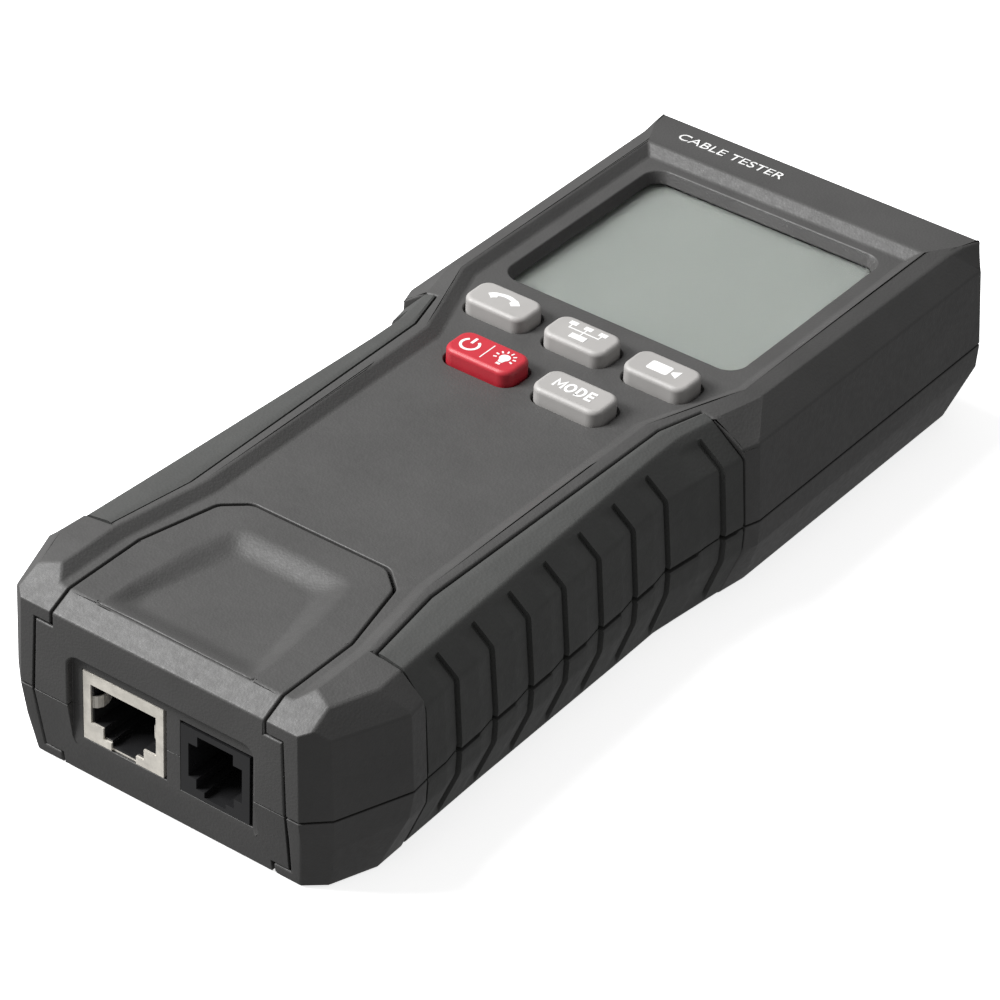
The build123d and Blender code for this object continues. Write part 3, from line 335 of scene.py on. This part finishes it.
# thumb dent of the remote: its outer and inner lines as (y, half width) rows, and how its walls run
DENT_OUTER = ((-83.5, -76.0, -64.0, -56.6, -54.7), (14.9, 14.6, 13.4, 11.9, 10.9))
DENT_INNER = ((-81.0, -76.0, -66.0, -62.4, -61.2), (11.6, 11.0, 8.8, 7.8, 7.4))
DENT_NEAR, DENT_FAR, DENT_HALF = -83.30, -54.7, 15.0
DENT_NEAR_WALL, DENT_FAR_WALL, DENT_BLEND = 5.0, 5.6, 5.0
DENT_ROOF, DENT_DEPTH, DENT_STEP, DENT_BOTTOM = 31.9, 1.45, 0.6, 30.4
LEVEL, LIP_REACH = 0.85, 3.0  # upward share of a normal that counts as level; reach of the lip along Y


def in_dent(a, b):
    """Whether both ends of an edge lie on the roof within the outer line of the remote's thumb dent."""
    return all(end.z > DENT_BOTTOM and DENT_NEAR + 0.02 < end.y < DENT_FAR + 0.01 and abs(end.x) < DENT_HALF
               for end in (a, b))


def bowl_depth(x, y):
    """Share of the dent's depth at a place in millimetres, from 0 on the roof to 1 on the bowl's floor.

    For each side, how far the place lies inside the outer line over the width of that side's wall; the
    smallest of these is taken with a soft minimum and eased at both ends (3 t^2 - 2 t^3).
    """
    outer = np.interp(y, *DENT_OUTER)
    inner = np.interp(y, *DENT_INNER)
    shares = np.array([(outer - x) / (outer - inner), (outer + x) / (outer - inner),
                       (DENT_FAR - y) / DENT_FAR_WALL, (y - DENT_NEAR) / DENT_NEAR_WALL])
    least = -np.log(np.exp(-DENT_BLEND * shares).sum(axis=0)) / DENT_BLEND
    share = np.clip(least, 0, 1)
    return share * share * (3 - 2 * share)


def soften_dent(work):
    """Cut the roof round the thumb dent into a fine grid and let the dent sink as one soft bowl.

    Its near edge is drawn straight along the crest where the roof meets the front bevel.
    """
    for low, high, normal in ((-DENT_HALF, DENT_HALF, (1, 0, 0)), (DENT_NEAR, DENT_FAR, (0, 1, 0))):
        for at in np.arange(low, high + DENT_STEP / 2, DENT_STEP):
            near = [face for face in work.faces if dented(face.calc_center_median() / MM, face.normal)]
            geometry = near + list({edge for face in near for edge in face.edges})
            geometry += list({vert for face in near for vert in face.verts})
            bmesh.ops.bisect_plane(work, geom=geometry, dist=1e-7, plane_no=normal,
                                   plane_co=Vector(normal) * (at * MM))
    for vert in work.verts:
        if on_lip(vert):
            vert.co.y, vert.co.z = DENT_NEAR * MM, DENT_ROOF * MM
    roof = [vert for vert in work.verts if in_dent(vert.co / MM, vert.co / MM)]
    place = np.array([vert.co for vert in roof]) / MM
    sunk = (DENT_ROOF - DENT_DEPTH * bowl_depth(place[:, 0], place[:, 1])) * MM
    for vert, height in zip(roof, sunk):
        vert.co.z = height


def on_lip(vert):
    """Whether a corner lies where the dent runs out into the front bevel."""
    place = vert.co / MM
    up = [face.normal.z for face in vert.link_faces]
    return (place.z > DENT_BOTTOM and abs(place.x) < DENT_HALF and abs(place.y - DENT_NEAR) < LIP_REACH
            and min(up) < LEVEL < max(up))


def dented(middle, normal):
    """Whether a face looks up from the roof of the remote round its dent."""
    return normal.z > LEVEL and middle.z > DENT_BOTTOM and DENT_NEAR - 1 < middle.y < DENT_FAR + 1.5


def housing_radius(a, b, angle):
    """Rounding of a housing edge in millimetres: small along the parting seam and round the openings."""
    low, high = min(a.z, b.z), max(a.z, b.z)
    if 13.0 < low < 15.0 or 13.0 < high < 15.0:
        return SEAM_RADIUS
    if low > 24 and abs(a.x) < 27 and angle > 60 and high < 32.2:
        return OPENING_RADIUS
    return HOUSING_RADIUS


def pane_radius(a, b, angle):
    """Polished edge of the display's pane."""
    return PANE_RADIUS


def remote_radius(a, b, angle):
    """Rounding of the remote's edges in millimetres: crisp round the jacks and along the seam."""
    by_jacks = max(a.z, b.z) < 29 and max(a.y, b.y) > -87.45 and angle > 60
    by_seam = 13.0 < (a.z + b.z) / 2 < 14.5
    return JACK_RADIUS if by_jacks or by_seam else REMOTE_RADIUS


# ------------------------------------------------------------------ rubber side grips
PARTING, BELLY, SHOULDER_AT = 13.75, 9.2, 26.5
GRIP_TOP, GRIP_RIM = 33.05, 32.35
GRIP_NEAR, GRIP_FAR = -67.0, 15.2
GROOVES = np.array([-58.7 + 9.45 * i for i in range(7)] + [10.9])
# half widths (y, x) of the tester at the parting line, shoulder, rim edge, inner rim, belly and base
PARTING_LINE = np.array([(-69, 35.1), (-67, 34.9), (-49, 34.2), (-11, 33.1),
                         (-1.5, 32.7), (7, 33.7), (15.2, 35.1)])
SHOULDER_LINE = np.array([(-69, 34.3), (-67, 34.0), (-49, 32.9), (-11, 31.8),
                          (-1.5, 31.3), (7, 32.4), (15.2, 33.9)])
RIM_LINE = np.array([(-69, 30.3), (-67.8, 30.2), (-49, 29.3), (-11, 27.65),
                     (-1.5, 27.3), (6.5, 27.2), (15.5, 28.8)])
EDGE_LINE = np.array([(-69, 25.7), (-67.6, 25.6), (-52, 23.4), (-12, 24.0),
                      (5.4, 24.2), (13.8, 26.5), (15.5, 26.9)])
BELLY_LINE = np.array([(-69, 34.85), (-67.2, 34.75), (-49, 34.05), (-11, 33.0),
                       (-1.5, 32.6), (7, 33.6), (15.2, 35.0)])
BASE_LINE = np.array([(-69, 31.45), (-68, 31.4), (-49, 30.9), (-11, 30.4),
                      (-1.5, 30.2), (5, 30.9), (13.6, 31.9), (15.5, 32.1)])
RIB_CREASE, RIB_DEPTH, GROOVE_DEPTH, GROOVE_HALF = 0.57, 0.5, 0.95, 0.33


def rib_depth(along):
    """How far the rubber lies below its full level at each distance along the grip.

    A rib is level up to its crease, slopes in to the next groove, and the groove's walls are steep.
    """
    at, depth = [GRIP_NEAR - 3.0], [0.0]
    start = GRIP_NEAR
    for groove in GROOVES:
        crease = start + RIB_CREASE * (groove - start)
        at += [crease, groove - GROOVE_HALF - 0.12, groove - GROOVE_HALF + 0.06,
               groove + GROOVE_HALF - 0.06, groove + GROOVE_HALF + 0.06]
        depth += [0.0, RIB_DEPTH, GROOVE_DEPTH, GROOVE_DEPTH, 0.0]
        start = groove
    return np.interp(along, at + [GRIP_FAR + 3.0], depth + [0.0])


def grip_stations():
    """Distances along the grip: every 0.7 mm, and close together round each groove and crease."""
    round_groove = np.array([-0.75, -0.45, -0.36, -0.27, -0.18, 0, 0.18, 0.27, 0.33, 0.39, 0.5, 0.8])
    fine = np.concatenate([groove + round_groove for groove in GROOVES])
    starts = np.concatenate([[GRIP_NEAR], GROOVES[:-1]])
    creases = starts + RIB_CREASE * (GROOVES - starts)
    bends = np.concatenate([creases + d for d in (-0.35, 0, 0.35)])
    even = np.linspace(GRIP_NEAR, GRIP_FAR, 118)
    near_fine = np.abs(even[:, None] - GROOVES[None, :]).min(1) < 0.8
    ends = GRIP_NEAR + np.array([0.12, 0.3]), GRIP_FAR - np.array([0.3, 0.12])
    return np.unique(np.round(np.concatenate([fine, bends, even[~near_fine], *ends]), 3))


def rounded_path(count, radii, runs):
    """Weights of a polyline's corners for points along it, with each inner corner eased.

    A point on a straight run is a mix of the run's two ends; a corner is a quadratic curve whose control
    point is the corner itself and which starts and ends a share of each run away from it.
    """
    rows = []
    for i in range(count - 1):
        start = radii[i] if i else 0.0
        stop = 1 - (radii[i + 1] if i < count - 2 else 0.0)
        for t in np.linspace(start, stop, runs[i]):
            row = np.zeros(count)
            row[i], row[i + 1] = 1 - t, t
            rows.append(row)
        if i < count - 2:
            share = radii[i + 1]
            for t in (0.25, 0.5, 0.75):
                row = np.zeros(count)
                row[i] = (1 - t) ** 2 * share
                row[i + 1] = (1 - t) ** 2 * (1 - share) + 2 * t * (1 - t) + t * t * (1 - share)
                row[i + 2] = t * t * share
                rows.append(row)
    return np.array(rows)


def slab(outer, inner):
    """Closed mesh between two grids of points of one size: both faces and the four sides between them."""
    n, m = outer.shape[:2]
    index = np.arange(n * m).reshape(n, m)

    def strip(a, b, c, d):
        return np.stack([a.ravel(), b.ravel(), c.ravel(), d.ravel()], 1)

    top = strip(index[:-1, :-1], index[1:, :-1], index[1:, 1:], index[:-1, 1:])
    under = top[:, ::-1] + n * m
    sides = [(index[0, :-1], index[0, 1:]), (index[1:, 0], index[:-1, 0]),
             (index[-1, 1:], index[-1, :-1]), (index[:-1, -1], index[1:, -1])]
    walls = [strip(a, b, b + n * m, a + n * m) for a, b in sides]
    return np.concatenate([outer.reshape(-1, 3), inner.reshape(-1, 3)]), np.concatenate([top, under, *walls])


def surface(name, points, faces, sharp=32):
    """Mesh from point and face arrays in millimetres, smooth but for edges that turn sharply."""
    mesh = bpy.data.meshes.new(name)
    mesh.from_pydata((points * MM).tolist(), [], faces.tolist())
    mesh.polygons.foreach_set("use_smooth", np.ones(len(mesh.polygons), bool))
    mesh.set_sharp_from_angle(angle=math.radians(sharp))
    mesh.update()
    return mesh


def line_at(line, y):
    return np.interp(y, line[:, 0], line[:, 1])


def grip_points(along, weights, corners, lean, relief):
    """Outer grid of a grip: a cross-section path carried along the side of the tester.

    Each point slides towards the remote by its own share of the slant of its corner, so grooves and ends
    lean as chevrons; then it sinks along the section's normal by the rib depth times its relief share.
    """
    slant = np.interp(along, [GRIP_NEAR, GROOVES[0], GROOVES[-2], GROOVES[-1], GRIP_FAR],
                      [0.4, 1, 1, 0.66, 0.6])
    y = along[:, None] + slant[:, None] * (weights @ lean)[None, :]
    x = sum(weights[None, :, k] * line_at(line, y) for k, (line, _) in enumerate(corners))
    z = np.broadcast_to(weights @ np.array([height for _, height in corners]), y.shape)
    across, up = np.gradient(x, axis=1), np.gradient(z, axis=1)
    length = np.hypot(across, up)
    depth = rib_depth(along)[:, None] * relief[None, :]
    sign = 1 if corners[0][1] > corners[-1][1] else -1
    x = x + sign * up / length * depth
    z = z - sign * across / length * depth
    return np.stack([x, y, z], 2)


def upper_grip():
    """Upper grip of the right side: from the inner rim over the rim edge and the facet to the parting."""
    along = grip_stations()
    corners = [(EDGE_LINE, GRIP_TOP), (RIM_LINE, GRIP_RIM), (SHOULDER_LINE, SHOULDER_AT),
               (PARTING_LINE, PARTING + 0.2)]
    weights = rounded_path(4, [0, 0.09, 0.07, 0], [7, 14, 12])
    lean = np.array([-1.9, -2.2, 0.0, 0.0])
    down = weights @ np.array([0.0, 1.0, 2.0, 3.0])
    relief = np.interp(down, [1.24, 1.30, 3.0], [0.0, 1.0, 1.0])
    outer = grip_points(along, weights, corners, lean, relief)
    flat = grip_points(along, weights, corners, lean, 0 * relief)
    edge_drop = np.interp(down, [0, 0.06, 0.14, 2.93, 2.97, 3.0], [0.22, 0.06, 0, 0, 0.06, 0.2])
    outer[..., 2] -= np.where(down < 1, edge_drop, 0)[None, :]
    outer[..., 0] -= np.where(down > 2, edge_drop, 0)[None, :]
    core = [(EDGE_LINE, GRIP_TOP - 1.7), (RIM_LINE - [0, 1.2], GRIP_RIM - 1.4),
            (SHOULDER_LINE - [0, 1.95], SHOULDER_AT - 0.5), (PARTING_LINE - [0, 1.95], PARTING + 0.2)]
    inner = grip_points(along, weights, core, lean, 0 * relief)
    inner[..., 1] = flat[..., 1]
    return slab(outer, inner)


def lower_grip():
    """Lower grip of the right side: from the parting over the belly, tucked under the base.

    Its upper edge is lower from each groove to the crease that follows, so the parting gap widens there.
    """
    along = grip_stations()
    corners = [(PARTING_LINE, PARTING - 0.2), (BELLY_LINE, BELLY), (BASE_LINE, 0.12),
               (BASE_LINE - [0, 2.9], 0.1)]
    weights = rounded_path(4, [0, 0.12, 0.1, 0], [8, 14, 4])
    lean = np.array([0.0, 0.0, -1.4, -1.5])
    down = weights @ np.array([0.0, 1.0, 2.0, 3.0])
    relief = np.interp(down, [0.0, 1.72, 1.9, 3.0], [1.0, 1.0, 0.0, 0.0])
    outer = grip_points(along, weights, corners, lean, relief)
    core = [(PARTING_LINE - [0, 1.95], PARTING - 0.2), (BELLY_LINE - [0, 1.95], BELLY + 0.4),
            (BASE_LINE - [0, 1.35], 1.55), (BASE_LINE - [0, 2.9], 1.55)]
    inner = grip_points(along, weights, core, lean, 0 * relief)
    starts = np.concatenate([[GRIP_NEAR - 9], GROOVES])
    ends = starts + RIB_CREASE * np.diff(np.append(starts, GRIP_FAR + 2))
    notch = sum(np.clip((along - a) / 0.15, 0, 1) * np.clip((b - along) / 0.15, 0, 1)
                for a, b in zip(starts[1:], ends[1:]))
    drop = 0.42 * notch[:, None] * np.clip(1 - down / 0.35, 0, 1)[None, :]
    outer[..., 2] -= drop
    inner[..., 2] -= drop
    outer[..., 0] -= (np.interp(down, [0, 0.03, 0.08], [0.2, 0.06, 0]))[None, :]
    return slab(outer, inner)


def add_grips():
    """Both hands of the upper and lower grips; the left hand is the right one seen in a mirror."""
    for name, (points, faces) in (("grip_upper", upper_grip()), ("grip_lower", lower_grip())):
        flip = faces[:, ::-1] if name == "grip_upper" else faces
        for hand, sign in (("right", 1), ("left", -1)):
            placed = points * [sign, 1, 1]
            turned = flip if sign > 0 else flip[:, ::-1]
            mesh = surface(f"{name}_{hand}_rubber", placed, turned)
            piece = linked(mesh.name, mesh, "tester", FINISHES["grip_rubber"])
            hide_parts(f"{name}_{hand}")


# ------------------------------------------------------------------ printed legends and spring tabs
INK_BELOW, INK_ABOVE, INK_LIFT = 0.02, 0.03, 0.003
STROKE_MITRE = 0.6  # the least cosine a stroke's mitre is worked out with, which cuts sharp corners short
LETTER_DEEP = 0.01  # half depth of the letters before they are scaled
# legend past the display: its width, middle and backward lean on the sloping rim
RIM_LEGEND_WIDE = 21.5
RIM_LEGEND_SPOT = (-14.6, 82.1, 32.75)
RIM_LEAN = -math.atan2(1.2, 12.6)
# spring tabs of the network jack: how far apart, how thick their sheet is, and between which heights
TAB_APART, TAB_SHEET, TAB_LEVELS = 11.9, 0.22, (14.2, 16.4)


def arc(center, radius, start, end, count=24):
    """Points of an arc, angles in degrees from +X."""
    angle = np.radians(np.linspace(start, end, count))
    return np.array(center) + radius * np.column_stack([np.cos(angle), np.sin(angle)])


def stroke(path, width):
    """Outline of a line of even width: the path moved half the width to each side along its mitres."""
    path = np.asarray(path, float)
    step = np.diff(path, axis=0)
    step /= np.linalg.norm(step, axis=1, keepdims=True)
    before, after = np.vstack([step[:1], step]), np.vstack([step, step[-1:]])
    ahead = before + after
    ahead /= np.linalg.norm(ahead, axis=1, keepdims=True)
    reach = width / 2 / np.maximum((ahead * after).sum(axis=1, keepdims=True), STROKE_MITRE)
    aside = np.column_stack([-ahead[:, 1], ahead[:, 0]]) * reach
    return np.vstack([path - aside, (path + aside)[::-1]])


def block(x, y, wide, high):
    """Outline of a rectangle round a centre."""
    return np.array([(-1, -1), (1, -1), (1, 1), (-1, 1)]) * (wide / 2, high / 2) + (x, y)


def prisms(name, outlines, spot, low, high, lift=0.0):
    """Upright prisms on outlines round spot, from low to high; each stands a lift taller than the last."""
    points, faces, first = [], [], 0
    for order, outline in enumerate(outlines):
        count = len(outline)
        for level in (low, high + order * lift):
            points.append(np.column_stack([outline, np.full(count, level)]) + spot)
        ring = first + np.arange(count)
        faces += [ring[::-1].tolist(), (ring + count).tolist()]
        after = np.roll(ring, -1)
        faces += np.column_stack([ring, after, after + count, ring + count]).tolist()
        first += 2 * count
    mesh = bpy.data.meshes.new(name)
    mesh.from_pydata((np.vstack(points) * MM).tolist(), [], faces)
    return mesh


def printed(name, outlines, spot, body):
    """Ink on a level surface: each outline stands as a thin prism at spot, all in millimetres."""
    return inked(name, prisms(name, outlines, spot, -INK_BELOW, INK_ABOVE, INK_LIFT), body)


def add_spring_tabs():
    """The two bent tongues just inside the shielded jack: strips of sheet that curl in from its rim."""
    low, high = (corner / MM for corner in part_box("remote_network_shield"))
    path = np.array([(-0.3, 0.35), (0.35, 0.8), (0.75, 1.6), (0.7, 2.8), (0.1, 4.4)])
    half = TAB_APART / 2
    tabs = [stroke(path * (side, 1) - (side * half, 0), TAB_SHEET) for side in (1, -1)]
    spot = ((low.x + high.x) / 2, low.y, 0)
    mesh = prisms("spring_tabs", [tabs[0], tabs[1][::-1]], spot, *TAB_LEVELS)
    linked("spring_tabs", mesh, "remote", FINISHES["shield_metal"])


def lettering(name, words, wide, spot, lean, body):
    """Plain upright letters in ink, as wide as asked, centred on spot and leaning back about X."""
    curve = bpy.data.curves.new(name + "_letters", "FONT")
    curve.body, curve.align_x, curve.align_y = words, "CENTER", "CENTER"
    curve.extrude = LETTER_DEEP
    source = bpy.data.objects.new(name + "_letters", curve)
    bpy.context.scene.collection.objects.link(source)
    mesh = bpy.data.meshes.new_from_object(source.evaluated_get(bpy.context.evaluated_depsgraph_get()))
    bpy.data.objects.remove(source)
    across = [vert.co.x for vert in mesh.vertices]
    size = wide / (max(across) - min(across)) * MM
    flat = Matrix.Diagonal((size, size, INK_ABOVE * MM / LETTER_DEEP, 1))
    mesh.transform(Matrix.Translation(Vector(spot) * MM) @ Matrix.Rotation(lean, 4, "X") @ flat)
    return inked(name, mesh, body)


def inked(name, mesh, body):
    """A piece of white print that rides on a body."""
    piece = bpy.data.objects.new(name, mesh)
    bpy.context.scene.collection.objects.link(piece)
    mesh.materials.clear()
    mesh.materials.append(WHITE_INK)
    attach(piece, body)
    return piece


def handset():
    """A receiver: an arched grip between two broad ends."""
    return [stroke(arc((0, -2.4), 3.5, 48, 132), 0.85), stroke(arc((0, -2.4), 3.3, 38, 62), 1.5),
            stroke(arc((0, -2.4), 3.3, 118, 142), 1.5)]


def network_tree():
    """Three small stations joined by lines to a larger one."""
    stations = [block(x, 1.75, 1.5, 0.95) for x in (-2.9, 0, 2.9)]
    lines = [stroke([(x, 1.3), (x, 0.35)], 0.22) for x in (-2.9, 0, 2.9)]
    lines += [stroke([(-3.0, 0.35), (3.0, 0.35)], 0.22), stroke([(0, 0.35), (0, -0.7)], 0.22)]
    return stations + lines + [block(0, -1.3, 3.0, 1.3)]


def video_camera():
    """A camera's box with rounded corners and its lens hood."""
    body = np.vstack([arc((x, y), 0.4, turn, turn + 90, 6) for x, y, turn in
                      ((1.0, 0.85, 0), (-2.2, 0.85, 90), (-2.2, -0.85, 180), (1.0, -0.85, 270))])
    return [body, np.array([(1.75, -0.25), (3.1, -1.1), (3.1, 1.1), (1.75, 0.25)])]


def power_and_lamp():
    """A broken ring with its bar, a dividing line, and a lamp with rays."""
    lamp = np.vstack([arc((3.3, 0.25), 0.95, -50, 230), [(2.9, -1.2), (3.7, -1.2)]])
    rays = [stroke(np.outer((1.35, 1.95), (math.cos(turn), math.sin(turn))) + (3.3, 0.25), 0.28)
            for turn in np.radians(np.linspace(-20, 200, 8))]
    return [stroke(arc((-3.4, -0.1), 1.55, 128, 412, 40), 0.48), stroke([(-3.4, 0.3), (-3.4, 1.95)], 0.48),
            stroke([(0, -2.1), (0, 2.1)], 0.2), lamp, block(3.3, -1.65, 0.8, 0.45)] + rays


def mode_word():
    """The word MODE in plain strokes of one width."""
    tall, thick = 1.05, 0.48
    bowl = arc((0, 0), 1, 90, -90) * (0.78, tall) + (0.95, 0)
    paths = [[(-3.8, -tall), (-3.8, tall), (-3.05, -0.3), (-2.3, tall), (-2.3, -tall)],
             arc((0, 0), 1, 90, 450, 40) * (0.72, tall) + (-0.95, 0),
             np.vstack([[(0.55, -tall), (0.55, tall)], bowl, [(0.35, -tall)]]),
             [(2.5, -tall), (2.5, tall)]]
    paths += [[(2.3, y), (3.6, y)] for y in (-tall, 0, tall)]
    return [stroke(path, thick) for path in paths]


def on_key(node):
    """Middle of a key's top in millimetres."""
    low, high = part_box(node)
    return ((low[0] + high[0]) / 2 / MM, (low[1] + high[1]) / 2 / MM, high[2] / MM)


def add_legends():
    """White print: a symbol or word on each key, and a plain legend on the rim past the display."""
    for node, sign in (("key_phone", handset), ("key_network", network_tree), ("key_camera", video_camera),
                       ("key_power", power_and_lamp), ("key_mode", mode_word)):
        printed(node + "_legend", sign(), on_key(node), node)
    lettering("rim_legend", "CABLE TESTER", RIM_LEGEND_WIDE, RIM_LEGEND_SPOT, RIM_LEAN, "tester")


def white_ink():
    """Screen-printed white ink, a little uneven."""
    ink = Finish("white_ink", (0.80, 0.80, 0.79), 0.5, 0.3)
    ink.tinted(ink.noise(900.0, 3.0), 0.92, 1.04)
    ink.bumped((ink.noise(2500.0, 2.0), 0.2, 0.004 * MM))
    return ink.material


SLOT_OF = {part["node"]: part["material_slot"] for part in frame["record"]["subparts"]}
FINISHES = make_finishes()
WHITE_INK = white_ink()
for name, node in NODES.items():
    for slot in node.material_slots:
        slot.material = FINISHES[SLOT_OF[name]]

eased("front_housing", "front_housing_moulding", "tester", housing_radius, HOUSING_RADIUS)
eased("rear_housing", "rear_housing_moulding", "tester", housing_radius, HOUSING_RADIUS)
eased("remote_upper_shell", "remote_upper_moulding", "remote", remote_radius, REMOTE_RADIUS)
eased("remote_lower_shell", "remote_lower_moulding", "remote", remote_radius, REMOTE_RADIUS)
eased("display_window", "display_window_pane", "tester", pane_radius, PANE_RADIUS)
add_grips()
add_legends()
add_spring_tabs()

add_camera()
add_floor()
add_light()
